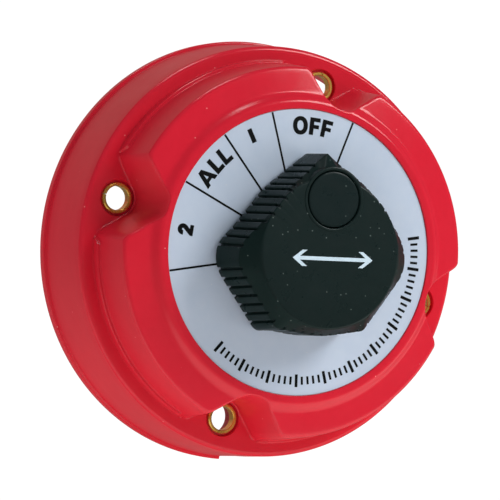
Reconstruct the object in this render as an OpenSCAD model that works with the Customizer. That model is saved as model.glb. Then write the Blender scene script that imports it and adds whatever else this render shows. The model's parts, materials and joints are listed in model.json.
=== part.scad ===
// Surface-mount rotary battery switch, four positions, three threaded terminals.
// Frame: the mounting face lies on y = 0 with its centre at the origin, the front faces -Y, +Z is up.
// Every piece is drawn with x to the right, y up and z towards the front, then stood up by
// front_up(). A "height" or a name ending in _z is a distance in front of the mounting face.
// Clock angles run clockwise from the top as seen from the front.

/* [Housing] */
// Outside radius of the rear rim
rim_r = 65; // [64.5:0.5:66]
// Radius of the four mounting holes' circle
hole_circle_r = 52.75; // [52.5:0.25:53]
// Clock angle of the first mounting hole
hole_clock = 17.8; // [15:0.1:20]
// Height of the flange face above the mounting face
flange_z = 26.4; // [26:0.1:27]
// Height of the seat that the dial lies on
dial_seat_z = 45.8; // [45.5:0.1:46]
// Height of the crest of the ring round the dial
bezel_z = 47.1; // [46.8:0.1:47.4]
// Radius of the recess that takes the dial
dial_r = 42.65; // [42.2:0.05:43]
// Draft of the hole pockets' walls, in degrees
pocket_draft = 7.5; // [5:0.5:9]
// Height of the cable opening in the skirt
cable_slot_h = 15; // [12:1:15]
// Clock angle of the middle of the cable opening
cable_slot_clock = 152.8; // [145:0.1:160]
// Angle the cable opening spans
cable_slot_angle = 67; // [50:1:67]

/* [Mounting bushings] */
// Outside radius of a brass bushing
bushing_r = 4.6; // [4.4:0.1:4.8]
// Bore radius of a brass bushing
bushing_bore_r = 3.6; // [3.3:0.1:3.8]
// Length of a brass bushing
bushing_len = 3.2; // [2.8:0.1:5.9]

/* [Knob] */
// Height of the knob's underside above the mounting face
knob_z0 = 48; // [47.8:0.1:48.5]
// Height of the top of the knob's grooved wall
knob_z1 = 63; // [61:0.5:64]
// Height of the knob's top face
knob_z2 = 68; // [67.5:0.5:69]
// Clock angle of the pointer at OFF
pointer_clock = 2.5; // [0:0.5:8]
// Distance from the axis to the pointer's tip
pointer_len = 29.5; // [28:0.1:30]
// Spacing of the grip grooves
groove_pitch = 3.1; // [2.8:0.1:3.6]
// Width of a grip groove
groove_w = 0.9; // [0.6:0.1:1.2]
// Depth of a grip groove
groove_d = 0.9; // [0.5:0.1:1.1]
// Distance from the axis to the centre of the lock plug
plug_y = 15.6; // [15:0.1:16]
// Radius of the lock plug
plug_r = 8.1; // [7.5:0.1:8.2]

/* [Action] */
// Angle between two neighbouring positions
step_angle = 28; // [26:1:30]
// Radius of a detent ball
ball_r = 2.5; // [2:0.1:2.5]
// Drop of a detent ball into its notch
ball_drop = 0.6; // [0.4:0.1:0.7]
// Radius of the shaft's bearing journal
journal_r = 6.3; // [6:0.05:6.3]
// Radial running clearance of the shaft
run_gap = 0.05; // [0.02:0.01:0.09]

/* [Terminals] */
// Radius of a threaded terminal stud
stud_r = 4.76; // [4:0.01:4.76]
// Distance of the studs from the axis
stud_circle_r = 26; // [25:0.5:27]
// Width of a terminal nut across its flats
nut_af = 14.3; // [13:0.1:14.3]

/* [Hidden] */
$fn = 96;

over = 1; // how far a cutter reaches past the face it cuts

copper = [0.80, 0.48, 0.33];
stud_metal = [0.78, 0.78, 0.76];
nut_metal = [0.78, 0.78, 0.78];
spring_metal = [0.75, 0.75, 0.76];
ball_metal = [0.80, 0.80, 0.82];

// housing
body_foot_r = 56.95;
body_top_r = 55.4;
step_z = 29.5;               // top of the low step round the body
skirt_roof_z = flange_z - 4;
chamber_r = 40;              // bore of the contact chamber
tube_r = 42.8;               // outside of the contact chamber's wall
front_wall_z = 41.8;         // inner face of the front wall
shaft_bore_r = 9;
rib_w = 2.2;
boss_r = 6.9;
boss_z = [20.4, 20.4, 15.9, 20.4]; // rear end of the boss round each mounting hole
bushing_z = flange_z - 0.1 - bushing_len;

// terminal base
base_rear_z = 17.5;
base_flange_z = 21.5;        // face that presses on the gasket
base_front_z = 24.5;
gasket_t = 0.5;
barrier_z = 7;               // rear edge of the barriers
screw_circle_r = 37.5;
tail_r = 5;                  // tail of the shaft, running in the base

// contacts and terminal hardware, stacked rearwards from the base
contact_top_z = 26.8;
leg_t = 1.5;                 // thickness of the common contact's leg
contact_pad_r = 7.4;
stud_clocks = [180, 90, 270]; // common, battery 1, battery 2
stud_washer_t = 1.2;
clamp_nut_t = 4.8;
lock_washer_t = 2.1;
terminal_nut_t = 5.4;
stud_washer_z = base_rear_z - stud_washer_t;
clamp_nut_z = stud_washer_z - clamp_nut_t;
lock_washer_z = clamp_nut_z - lock_washer_t;
terminal_nut_z = lock_washer_z - terminal_nut_t;

// rotor, moving contact and detent
rotor_r = 30;
rotor_rear_z = 31.5;
rotor_front_z = 39.2;
square_w = 10;               // square drive of the shaft
fit_gap = 0.04;              // play of the knob and the rotor on the shaft, per side
seat_r = 9.9;                // outside of the contact spring's seat
seat_hub_r = 7.4;            // inside of the contact spring's seat
arm_clocks = [132, -20];     // moving contact's arms, from the pointer
arm_t = 2.5;
arm_z = 27.3;
post_y = 16.5;
post_r = 1.9;
rub_z = contact_top_z + 0.02; // rubbing faces of the moving contact
ring_r = 31;
ball_z = 36;
ball_crest_r = ring_r - ball_r - 0.02; // radius of a ball's centre between notches
spring_bore_y = 15;          // inner end of a detent spring's bore

// shaft and knob
collar_z = 26.1;
shaft_top_z = 57;
flat_w = 9.6;                // width across the shaft's flats
clip_groove_z = 30.4;
o_groove_z = 43.2;
o_groove_w = 2.1;
o_wire_r = 0.93;
screw_head_z = 24.2;         // bottom of the counterbore for the knob screw's head
plug_z = 60.5;               // floor of the lock plug's recess

// ---------- helpers ----------

module front_up() { rotate([90, 0, 0]) children(); }
module lift(z) { translate([0, 0, z]) children(); }
// turns a piece drawn at twelve o'clock to a clock angle
module clock(angle) { rotate([0, 0, -angle]) children(); }
function at_clock(angle, radius) = [radius * sin(angle), radius * cos(angle)];

// turns a piece to the clock angle of each mounting hole
module at_hole_clocks() { for (k = [0:3]) clock(hole_clock + 90 * k) children(); }
module at_holes() { at_hole_clocks() translate([0, hole_circle_r, 0]) children(); }
// halfway between the mounting holes
module at_screws() {
    for (k = [0:3]) clock(hole_clock + 45 + 90 * k) translate([0, screw_circle_r, 0]) children();
}
// on both sides of each mounting hole
module at_ribs() {
    for (k = [0:3], side = [-1, 1]) clock(hole_clock + 90 * k + 32 * side) children();
}
module at_studs() {
    for (angle = stud_clocks) clock(angle) translate([0, stud_circle_r, 0]) children();
}
module at_arms() { for (angle = arm_clocks) clock(angle) children(); }
// the two sides of the rotor that carry a detent ball
module at_detents() { for (side = [90, 270]) clock(pointer_clock + side) children(); }

// points of an arc in a profile
function arc_pts(centre, radius, from, to, steps = 6) =
    [for (i = [0:steps])
        let (a = from + (to - from) * i / steps) centre + radius * [cos(a), sin(a)]];

function unit(v) = v / norm(v);

// points of the arc that rounds a corner between its two neighbours
function corner_pts(before, corner, after, radius, steps = 8) =
    let (to_before = unit(before - corner),
         to_after = unit(after - corner),
         half = acos(max(-1, min(1, to_before * to_after))) / 2,
         centre = corner + unit(to_before + to_after) * (radius / sin(half)),
         start = corner + to_before * (radius / tan(half)) - centre,
         end = corner + to_after * (radius / tan(half)) - centre,
         from = atan2(start[1], start[0]),
         turn = ((atan2(end[1], end[0]) - from + 540) % 360) - 180)
    [for (i = [0:steps])
        let (a = from + turn * i / steps) centre + radius * [cos(a), sin(a)]];

// a convex outline with corner i rounded to radii[i]
function rounded(pts, radii) =
    let (n = len(pts))
    [for (i = [0:n - 1])
        each corner_pts(pts[(i + n - 1) % n], pts[i], pts[(i + 1) % n], radii[i])];

// a coil of round wire standing on z = 0
module coil(mean_r, wire_r, height, turns, per_turn, sides) {
    n = floor(turns * per_turn);
    pts = [for (i = [0:n], k = [0:sides - 1])
        let (t = i / n,
             along = 360 * turns * t,
             round = 360 * k / sides,
             z = wire_r + (height - 2 * wire_r) * t,
             reach = mean_r + wire_r * cos(round))
        [reach * cos(along), reach * sin(along), z + wire_r * sin(round)]];
    side_faces = [for (i = [0:n - 1], k = [0:sides - 1])
        let (next = (k + 1) % sides)
        [(i + 1) * sides + k, (i + 1) * sides + next, i * sides + next, i * sides + k]];
    ends = [[for (k = [0:sides - 1]) k],
            [for (k = [sides - 1:-1:0]) n * sides + k]];
    polyhedron(points = pts, faces = concat(side_faces, ends), convexity = 8);
}

module rod(radius, z_from, z_to) { lift(z_from) cylinder(r = radius, h = z_to - z_from); }

module washer(outer_r, inner_r, height) {
    difference() {
        cylinder(r = outer_r, h = height);
        lift(-over) cylinder(r = inner_r, h = height + 2 * over);
    }
}

// a hexagonal nut with its corners chamfered at both ends
module hex_nut(across_flats, height, bore_r) {
    corner_r = across_flats / sqrt(3);
    face_r = across_flats * 0.5 + 0.2;
    chamfer_h = 0.9;
    difference() {
        intersection() {
            cylinder(r = corner_r, h = height, $fn = 6);
            rotate_extrude() polygon([[0, 0], [face_r, 0], [corner_r, chamfer_h],
                                      [corner_r, height - chamfer_h], [face_r, height], [0, height]]);
        }
        lift(-over) cylinder(r = bore_r, h = height + 2 * over);
    }
}

// prism round twelve o'clock, half_angle to each side
module wedge(half_angle) {
    linear_extrude(20) polygon([[0, 0], at_clock(-half_angle, 60), at_clock(half_angle, 60)]);
}

// ---------- housing ----------

// half space behind a wall whose normal has the given plan angle and which stands at the given
// distance along it at flange height; the wall leans towards its normal by draft as z rises
module wall_side(angle, distance, draft) {
    rotate([0, 0, angle]) translate([distance, 0, flange_z]) rotate([0, draft, 0])
        translate([-200, -100, -100]) cube([200, 200, 200]);
}

// pocket that gives access to a mounting hole, drawn with the hole at twelve o'clock
module pocket_shape(grow, draft, z_from, z_to) {
    flank = -32.42 + grow;
    back = -47.35 + grow;
    intersection() {
        wall_side(-46, flank, draft);
        wall_side(-134, flank, draft);
        wall_side(-90, back, draft);
        translate([-50, 30, z_from]) cube([100, 60, z_to - z_from]);
    }
}

// outer shape as a profile of [radius, z]
module housing_outer() {
    rotate_extrude() polygon(concat(
        [[0, 0], [rim_r - 0.4, 0], [rim_r, 0.4], [rim_r, 2.8], [rim_r - 0.4, 3.3], [64.0, 3.5]],
        arc_pts([60.9, flange_z - 1.5], 1.5, 8, 90),
        [[58.0, flange_z], [58.0, step_z - 0.5], [57.6, step_z], [body_foot_r, step_z]],
        arc_pts([body_top_r - 1.0, 42.85], 1.0, 6, 82),
        [[47.4, 45.05]],
        arc_pts([44.7, bezel_z - 1.2], 1.2, 50, 90),
        [[dial_r + 0.3, bezel_z], [dial_r, bezel_z - 0.3], [dial_r, dial_seat_z],
         [0, dial_seat_z]]));
}

// hollow between the contact chamber and the body wall, left solid round the pockets and at webs
module body_hollow() {
    difference() {
        lift(10) washer(53.9, tube_r, 31);
        at_hole_clocks() pocket_shape(2.6, 0, skirt_roof_z, 60);
        at_ribs() translate([-rib_w / 2, 41, 0]) cube([rib_w, 20, 60]);
    }
}

// pocket, and the gap in the low step in front of it
module pocket_cut() {
    gap_end = at_clock(14.5, 70);
    pocket_shape(0, pocket_draft, flange_z, 60);
    intersection() {
        lift(flange_z) washer(70, body_foot_r + 0.02, 4);
        linear_extrude(60) polygon([[0, 30], gap_end, [0, 90], [-gap_end[0], gap_end[1]]]);
    }
}

module housing_shell() {
    difference() {
        housing_outer();
        // open rear of the skirt
        rotate_extrude() polygon([[0, -1], [60.9, -1], [59.5, skirt_roof_z], [0, skirt_roof_z]]);
        body_hollow();
        at_hole_clocks() pocket_cut();
    }
}

// contact chamber, less the four screw bosses that stand in it
module chamber_cut() {
    difference() {
        cylinder(r = chamber_r, h = front_wall_z);
        at_screws() lift(base_front_z + 0.1) cylinder(r = 3.2, h = 30);
    }
}

// mounting hole with a wider rear part and a shallow counterbore in front
module mounting_hole() {
    cylinder(r = 5.4, h = bushing_z);
    cylinder(r = bushing_r, h = 60);
    lift(flange_z - 1.3) cylinder(r = 5.35, h = 10);
}

// sector through the skirt and rim
module cable_opening() {
    half = cable_slot_angle / 2;
    clock(cable_slot_clock) lift(-over) linear_extrude(cable_slot_h + over)
        polygon([[0, 50], at_clock(-half, 50), at_clock(-half, 90), [0, 120],
                 at_clock(half, 90), at_clock(half, 50)]);
}

module housing() {
    color([0.80, 0.10, 0.15]) front_up() difference() {
        union() {
            housing_shell();
            // rear end of the contact chamber's wall
            lift(base_flange_z + gasket_t) washer(tube_r, chamber_r, 2);
            // bosses round the mounting holes, the lowest one longer
            for (k = [0:3]) clock(hole_clock + 90 * k)
                translate([0, hole_circle_r, 0]) rod(boss_r, boss_z[k], skirt_roof_z + 2);
            // ribs in the skirt
            at_ribs() translate([-rib_w / 2, 43.1, 16]) cube([rib_w, 17.1, 7]);
        }
        chamber_cut();
        // screw holes in the bosses
        at_screws() lift(20) cylinder(r = 1.75, h = 15);
        at_holes() mounting_hole();
        cylinder(r = shaft_bore_r, h = 60);
        cable_opening();
    }
}

module mounting_bushings() {
    seam_w = 0.24;
    color([0.85, 0.68, 0.30]) front_up() at_holes() lift(bushing_z) difference() {
        rotate_extrude() polygon([[bushing_bore_r, 0], [bushing_r, 0],
                                  [bushing_r, bushing_len - 0.3], [bushing_r - 0.3, bushing_len],
                                  [bushing_bore_r + 0.2, bushing_len],
                                  [bushing_bore_r, bushing_len - 0.25]]);
        // seam of the rolled strip
        translate([-seam_w / 2, 0, -over]) cube([seam_w, 10, bushing_len + 2 * over]);
    }
}

module dial_plate() {
    color([0.80, 0.83, 0.87]) front_up() lift(dial_seat_z) washer(dial_r - 0.08, 9.2, 0.8);
}

module shaft_bushing() {
    flange_r = 13;
    barrel_r = shaft_bore_r - 0.02;
    rear_z = 40;
    front_z = 47.3;
    color([0.80, 0.64, 0.32]) front_up() difference() {
        rotate_extrude() polygon([[0, rear_z], [flange_r, rear_z], [flange_r, front_wall_z],
                                  [barrel_r, front_wall_z], [barrel_r, front_z - 0.3],
                                  [8.7, front_z], [0, front_z]]);
        lift(30) cylinder(r = journal_r + run_gap, h = 30);
    }
}

module detent_ring() {
    color([0.90, 0.88, 0.80]) front_up() difference() {
        lift(32.4) cylinder(r = 36.4, h = 7.2);
        lift(30) cylinder(r = ring_r, h = 20);
        // scallops that key the ring on the screw bosses
        at_screws() lift(30) cylinder(r = 3.25, h = 20);
        // notches for both balls at every position
        for (k = [0:3], side = [90, 270]) clock(pointer_clock + side - step_angle * k)
            translate([0, ball_crest_r + ball_drop, 30]) cylinder(r = ball_r + 0.06, h = 20);
    }
}

// ---------- rear base and terminals ----------

module terminal_base() {
    spigot_r = chamber_r - 0.1;
    barrier_w = 2.6;
    color([0.10, 0.10, 0.11]) front_up() difference() {
        union() {
            rotate_extrude() polygon([[0, base_rear_z], [tube_r - 0.4, base_rear_z],
                                      [tube_r, base_rear_z + 0.4], [tube_r, base_flange_z],
                                      [spigot_r, base_flange_z], [spigot_r, base_front_z],
                                      [0, base_front_z]]);
            // pilot boss for the tail of the shaft
            rod(7.6, base_rear_z, 26.0);
            // barriers between the terminals, meeting in a round post
            for (angle = [0, 135, 225]) clock(angle) translate([-barrier_w / 2, 0, barrier_z])
                cube([barrier_w, 40, base_rear_z - barrier_z + 1]);
            rod(5, barrier_z, base_rear_z + 1);
        }
        lift(19.6) cylinder(r = tail_r + run_gap, h = 20);
        at_studs() cylinder(r = stud_r + 0.14, h = 40);
        at_screws() cylinder(r = 2.0, h = 40);
    }
}

module base_gasket() {
    color([0.15, 0.15, 0.15]) front_up() lift(base_flange_z) washer(tube_r, chamber_r, gasket_t);
}

module base_screws() {
    color([0.70, 0.70, 0.72]) front_up() at_screws() difference() {
        union() {
            rod(1.74, base_rear_z - 0.5, 33.5);
            // domed head
            lift(base_rear_z) mirror([0, 0, 1]) rotate_extrude()
                polygon([[0, 0], [3.3, 0], [3.3, 0.9], [2.7, 1.8], [1.6, 2.2], [0, 2.3]]);
        }
        // cross recess
        for (a = [0, 90]) rotate([0, 0, a]) translate([-2, -0.4, base_rear_z - 3])
            cube([4, 0.8, 2]);
    }
}

// fixed battery contact: a sector with a round pad at the stud, drawn at twelve o'clock
module side_contact() {
    thickness = contact_top_z - base_front_z;
    difference() {
        union() {
            lift(base_front_z) intersection() {
                washer(30.5, 18.5, thickness);
                wedge(14);
            }
            translate([0, stud_circle_r, base_front_z]) cylinder(r = contact_pad_r, h = thickness);
        }
        translate([0, stud_circle_r, 20]) cylinder(r = stud_r + 0.005, h = 20);
    }
}

module battery_1_contact() { color(copper) front_up() clock(stud_clocks[1]) side_contact(); }
module battery_2_contact() { color(copper) front_up() clock(stud_clocks[2]) side_contact(); }

module common_contact() {
    leg_w = 10;
    color(copper) front_up() difference() {
        union() {
            rod(13.5, base_front_z, contact_top_z);
            // leg to the stud, lower than the rubbing face
            translate([-leg_w / 2, -stud_circle_r, base_front_z])
                cube([leg_w, stud_circle_r - 10, leg_t]);
            translate([0, -stud_circle_r, base_front_z]) cylinder(r = contact_pad_r, h = leg_t);
        }
        lift(20) cylinder(r = 8.3, h = 20);
        translate([0, -stud_circle_r, 20]) cylinder(r = stud_r + 0.005, h = 20);
    }
}

module stud(angle, top_z) {
    rear_z = 2.5;
    chamfer = 0.8;
    clock(angle) translate([0, stud_circle_r, 0]) rotate_extrude()
        polygon([[0, rear_z], [stud_r - chamfer, rear_z], [stud_r, rear_z + chamfer],
                 [stud_r, top_z], [0, top_z]]);
}
module common_stud() { color(stud_metal) front_up() stud(stud_clocks[0], base_front_z + leg_t); }
module battery_1_stud() { color(stud_metal) front_up() stud(stud_clocks[1], contact_top_z); }
module battery_2_stud() { color(stud_metal) front_up() stud(stud_clocks[2], contact_top_z); }

module stud_washers() {
    color(spring_metal) front_up() at_studs() lift(stud_washer_z)
        washer(9.4, stud_r + 0.2, stud_washer_t);
}
module stud_clamp_nuts() {
    color(nut_metal) front_up() at_studs() lift(clamp_nut_z)
        hex_nut(nut_af, clamp_nut_t, stud_r + 0.04);
}
module terminal_lock_washers() {
    split_w = 0.7;
    color([0.70, 0.70, 0.71]) front_up() at_studs() difference() {
        lift(lock_washer_z) washer(8.2, stud_r + 0.25, lock_washer_t);
        // slanting split
        lift(lock_washer_z - 1.4) rotate([0, 0, 30]) rotate([0, 12, 0])
            translate([-split_w / 2, 0, -2]) cube([split_w, 20, 10]);
    }
}
module terminal_nuts() {
    color(nut_metal) front_up() at_studs() lift(terminal_nut_z) rotate([0, 0, 17])
        hex_nut(nut_af, terminal_nut_t, stud_r + 0.04);
}

// ---------- knob and shaft ----------

// sharp corners of the knob, [x, y], from the pointer's tip round the right side
knob_right = [[13.5, 18.75], [29.9, -1.7], [14.3, -22.8]];
knob_bottom_y = -25;
knob_corners = concat([[0, pointer_len]], knob_right, [[0, knob_bottom_y]],
                      [for (i = [2:-1:0]) [-knob_right[i][0], knob_right[i][1]]]);
knob_corner_r = [0.6, 24, 10, 2.5, 30, 2.5, 10, 24];
// first and last groove along each of the four right-hand sides, from the side's first corner
groove_spans = [[6.2, 15.6], [0.5, 19.3], [5.1, 23.8], [2.1, 11.5]];
knob_top_centre = [-0.4, -0.1];

// outline of the knob, scaled down by about inset
function knob_pts(inset) =
    rounded([for (corner = knob_corners) corner * (1 - inset / 26)], knob_corner_r);

module groove() { square([groove_w, 2 * groove_d], center = true); }

// grooves along the straight side between two corners
module groove_row(corner, next_corner, span) {
    direction = unit(next_corner - corner);
    n = floor((span[1] - span[0]) / groove_pitch);
    for (i = [0:n]) translate(corner + direction * (span[0] + i * groove_pitch))
        rotate(atan2(direction[1], direction[0])) groove();
}

// grip grooves round the knob, none at its tip, its side corners or its lower corners
module knob_grooves() {
    for (m = [0, 1]) mirror([m, 0])
        for (i = [0:3]) groove_row(knob_corners[i], knob_corners[i + 1], groove_spans[i]);
    translate([0, knob_bottom_y - 0.1]) groove();
}

module knob_body() {
    lift(knob_z0) linear_extrude(knob_z1 - knob_z0) polygon(knob_pts(0.15));
    // bevel from the wall up to the round top face
    hull() {
        translate([0, 0, knob_z1 - 0.05]) linear_extrude(0.05) polygon(knob_pts(0.3));
        translate([each knob_top_centre, knob_z2 - 0.7])
            linear_extrude(0.3) circle(r = 21.8, $fn = 72);
        translate([each knob_top_centre, knob_z2 - 0.3])
            linear_extrude(0.3) circle(r = 21.5, $fn = 72);
    }
    // raised rim round the lock plug
    translate([0, plug_y, 0]) rod(9.5, plug_z - 0.5, knob_z2 + 0.2);
}

// hollow underside, less the hub and the ribs that join it to the wall
module knob_hollow() {
    web_w = 2.2;
    difference() {
        lift(knob_z0 - over) linear_extrude(11) polygon(knob_pts(4.2));
        rod(10, knob_z0 - 2, 70);
        for (a = [30, 90, 150]) rotate([0, 0, a])
            translate([-40, -web_w / 2, knob_z0 + 0.6]) cube([80, web_w, 30]);
    }
}

// rod with two flats, above and below
module flatted_rod(radius, width, z_from, z_to) {
    intersection() {
        rod(radius, z_from, z_to);
        translate([-20, -width / 2, 0]) cube([40, width, 100]);
    }
}

module knob() {
    color([0.09, 0.11, 0.10]) front_up() clock(pointer_clock) difference() {
        union() knob_body();
        // the grooves run out through the bevel
        lift(knob_z0 - over) linear_extrude(knob_z2 - knob_z0 - 0.1) knob_grooves();
        // recess for the lock plug
        translate([0, plug_y, plug_z]) cylinder(r = plug_r + 0.35, h = 20);
        knob_hollow();
        // socket for the shaft
        flatted_rod(journal_r + fit_gap, flat_w + 2 * fit_gap, knob_z0 - over, shaft_top_z + 0.1);
        // seat of the threaded insert
        rod(4.0, shaft_top_z, 63.6);
    }
}

module lock_plug() {
    chamfer = 0.4;
    color([0.10, 0.12, 0.11]) front_up() clock(pointer_clock) translate([0, plug_y, 0])
        rotate_extrude() polygon([[0, plug_z], [plug_r, plug_z], [plug_r, knob_z2 - chamfer],
                                  [plug_r - chamfer, knob_z2], [0, knob_z2]]);
}

module knob_insert() {
    color([0.82, 0.66, 0.30]) front_up() lift(shaft_top_z + 0.2) washer(3.98, 2.02, 6.2);
}

module knob_screw() {
    head_rear_z = 20.3;
    color([0.68, 0.69, 0.70]) front_up() difference() {
        union() {
            rod(3.5, head_rear_z, screw_head_z);
            rod(2.0, screw_head_z - 0.1, 62.4);
        }
        // hexagon socket
        lift(head_rear_z - over) cylinder(r = 1.73, h = 3.4, $fn = 6);
    }
}

module drive_shaft() {
    color([0.72, 0.72, 0.73]) front_up() clock(pointer_clock) difference() {
        union() {
            rod(tail_r, 19.9, collar_z);
            rod(5.6, collar_z, rotor_rear_z);
            // square drive with its corners turned off
            intersection() {
                translate([-square_w / 2, -square_w / 2, rotor_rear_z - 0.1])
                    cube([square_w, square_w, rotor_front_z - rotor_rear_z + 0.2]);
                rod(6.9, rotor_rear_z - over, rotor_front_z + over);
            }
            rod(journal_r, rotor_front_z, 47.6);
            flatted_rod(journal_r, flat_w, 47.5, shaft_top_z);
        }
        // grooves of the retaining clip and the O-ring
        lift(clip_groove_z) washer(9, 4.6, 0.8);
        lift(o_groove_z) washer(9, 4.4, o_groove_w);
        // bore and counterbore of the knob screw
        rod(2.1, 10, 60);
        rod(3.6, 10, screw_head_z);
    }
}

module shaft_o_ring() {
    color([0.05, 0.05, 0.05]) front_up() lift(o_groove_z + o_groove_w / 2)
        rotate_extrude() translate([journal_r - o_wire_r, 0]) circle(r = o_wire_r, $fn = 32);
}

module thrust_washer() {
    color([0.92, 0.90, 0.84]) front_up() lift(rotor_front_z + 0.02) washer(13, 7.0, 0.75);
}

module rotor() {
    square_hole = square_w + 2 * fit_gap;
    color([0.16, 0.16, 0.17]) front_up() difference() {
        union() {
            rod(rotor_r, rotor_rear_z, rotor_front_z);
            // posts that carry the moving contact round
            clock(pointer_clock) at_arms() translate([0, post_y, 28]) cylinder(r = post_r, h = 4.5);
        }
        clock(pointer_clock) translate([-square_hole / 2, -square_hole / 2, 0])
            cube([square_hole, square_hole, 60]);
        // seat of the contact spring, and a shallow recess inside it
        lift(rotor_rear_z - over) washer(seat_r, seat_hub_r, 4);
        lift(rotor_rear_z - over) cylinder(r = 7.5, h = 1.2);
        // radial bores of the detent springs and balls
        at_detents() translate([0, spring_bore_y, ball_z]) rotate([-90, 0, 0])
            cylinder(r = ball_r + 0.05, h = 30);
        // round weight-saving pockets in the front face
        for (side = [0, 180], offset_angle = [-34, -12, 12, 34])
            clock(pointer_clock + side + offset_angle)
                translate([0, 22.5, rotor_front_z - 4]) cylinder(r = 3.2, h = 5);
    }
}

// clip with its opening downwards
module rotor_clip() {
    opening_w = 6.4;
    color([0.55, 0.56, 0.58]) front_up() lift(clip_groove_z + 0.05) difference() {
        washer(7.3, 4.62, 0.7);
        translate([-opening_w / 2, -12, -over]) cube([opening_w, 12, 3]);
    }
}

module moving_contact() {
    color([0.85, 0.52, 0.36]) front_up() clock(pointer_clock) difference() {
        union() {
            lift(arm_z) cylinder(r = 13.3, h = arm_t);
            at_arms() {
                lift(arm_z) intersection() {
                    cylinder(r = 27.5, h = arm_t);
                    wedge(13);
                }
                // contact button under the arm
                translate([0, 22.5, rub_z]) cylinder(r = 3.6, h = 1);
            }
            // rubbing ring
            lift(rub_z) washer(12.8, 9.0, 1);
        }
        lift(20) cylinder(r = 8.4, h = 20);
        at_arms() translate([0, post_y, 20]) cylinder(r = post_r + 0.1, h = 20);
    }
}

module contact_spring() {
    color(spring_metal) front_up() lift(arm_z + arm_t + 0.02)
        coil(mean_r = (seat_r + seat_hub_r) / 2, wire_r = 0.5, height = 4.64,
             turns = 2.6, per_turn = 24, sides = 8);
}

module ball_at(side) {
    clock(pointer_clock + side) translate([0, ball_crest_r, ball_z]) sphere(r = ball_r);
}
module detent_ball_left() { color(ball_metal) front_up() ball_at(270); }
module detent_ball_right() { color(ball_metal) front_up() ball_at(90); }

module detent_springs() {
    foot_y = spring_bore_y + 0.05;
    color(spring_metal) front_up() at_detents()
        translate([0, foot_y, ball_z]) rotate([-90, 0, 0])
            coil(mean_r = 1.85, wire_r = 0.3, height = ball_crest_r - ball_r - foot_y + 0.55,
                 turns = 7, per_turn = 14, sides = 6);
}

housing();
mounting_bushings();
dial_plate();
shaft_bushing();
detent_ring();
terminal_base();
base_gasket();
base_screws();
common_contact();
battery_1_contact();
battery_2_contact();
common_stud();
battery_1_stud();
battery_2_stud();
stud_washers();
stud_clamp_nuts();
terminal_lock_washers();
terminal_nuts();
knob();
lock_plug();
knob_insert();
knob_screw();
drive_shaft();
shaft_o_ring();
thrust_washer();
rotor();
rotor_clip();
moving_contact();
contact_spring();
detent_ball_left();
detent_ball_right();
detent_springs();
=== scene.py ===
"""Rotary battery switch: red round housing, black pointed knob, threaded studs and dial print.

Shapes are drawn in millimetres with x right, y up and z towards the front, then stood up:
the front faces -Y, up is +Z and the knob's axis runs through the origin. Clock angles are in
degrees, clockwise from the top as seen from the front.
"""
import json
import math
import random
import bpy
import bmesh
import numpy as np
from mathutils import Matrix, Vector


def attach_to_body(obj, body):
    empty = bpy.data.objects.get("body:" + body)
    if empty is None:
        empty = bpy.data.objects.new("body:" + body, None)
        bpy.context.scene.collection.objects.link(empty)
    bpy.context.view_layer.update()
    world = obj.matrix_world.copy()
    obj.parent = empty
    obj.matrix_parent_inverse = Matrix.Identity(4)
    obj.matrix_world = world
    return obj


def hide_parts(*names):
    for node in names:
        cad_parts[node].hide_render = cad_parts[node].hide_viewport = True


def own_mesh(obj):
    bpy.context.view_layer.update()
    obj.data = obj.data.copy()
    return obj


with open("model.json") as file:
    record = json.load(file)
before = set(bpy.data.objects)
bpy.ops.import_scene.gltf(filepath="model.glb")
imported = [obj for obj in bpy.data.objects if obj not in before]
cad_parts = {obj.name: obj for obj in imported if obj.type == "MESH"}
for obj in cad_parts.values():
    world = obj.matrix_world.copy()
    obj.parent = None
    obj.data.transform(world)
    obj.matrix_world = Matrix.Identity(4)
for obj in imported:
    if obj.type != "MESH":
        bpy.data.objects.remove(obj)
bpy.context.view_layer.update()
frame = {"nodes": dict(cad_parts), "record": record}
random.seed(7)

MM = 0.001
HOLE_CLOCK = 17.8        # first of the four mounting holes
POINTER_CLOCK = 2.5      # the knob's pointer at OFF
DIAL_TOP = 46.6          # front surface of the dial plate
PRINT_SINK = 0.01        # the dial print starts this far inside the plate
PRINT_RISE = 0.05        # and stands this far proud of it


# ------------------------------------------------------------------ points and blends
def stand(points):
    """drawing millimetres to scene metres"""
    p = np.asarray(points, float)
    return np.stack([p[:, 0], -p[:, 2], p[:, 1]], 1) * MM


def clock_point(clock, radius):
    angle = math.radians(clock)
    return radius * math.sin(angle), radius * math.cos(angle)


def unit(v):
    return v / np.linalg.norm(v)


def smoothstep(x):
    return x * x * (3 - 2 * x)


def soft_min(a, b, width):
    return np.minimum(a, b) - np.maximum(width - np.abs(a - b), 0) ** 2 / (4 * width)


def soft_max(a, b, width):
    return -soft_min(-a, -b, width)


# ------------------------------------------------------------------ shapes: (points, faces)
def full_turn(count):
    return np.arange(count) * 2 * math.pi / count


def sweep(angles, radius, height, at=(0, 0)):
    """grid [angle, row] of points round an axis parallel to z"""
    radius, height = np.asarray(radius, float), np.asarray(height, float)
    grid = np.zeros((len(angles), radius.shape[-1], 3))
    grid[:, :, 0] = np.cos(angles)[:, None] * radius + at[0]
    grid[:, :, 1] = np.sin(angles)[:, None] * radius + at[1]
    grid[:, :, 2] = height
    return grid


def tube(grid):
    """closed solid from a grid [around, row], with a fan at both ends"""
    around, rows = grid.shape[:2]
    points = grid.reshape(-1, 3).tolist()
    faces = []
    for j in range(around):
        a, b = j * rows, (j + 1) % around * rows
        for i in range(rows - 1):
            faces.append((a + i, b + i, b + i + 1, a + i + 1))
    first, last = len(points), len(points) + 1
    points.append(grid[:, 0].mean(0).tolist())
    points.append(grid[:, -1].mean(0).tolist())
    for j in range(around):
        a, b = j * rows, (j + 1) % around * rows
        faces.append((first, b, a))
        faces.append((last, a + rows - 1, b + rows - 1))
    return points, faces


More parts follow.
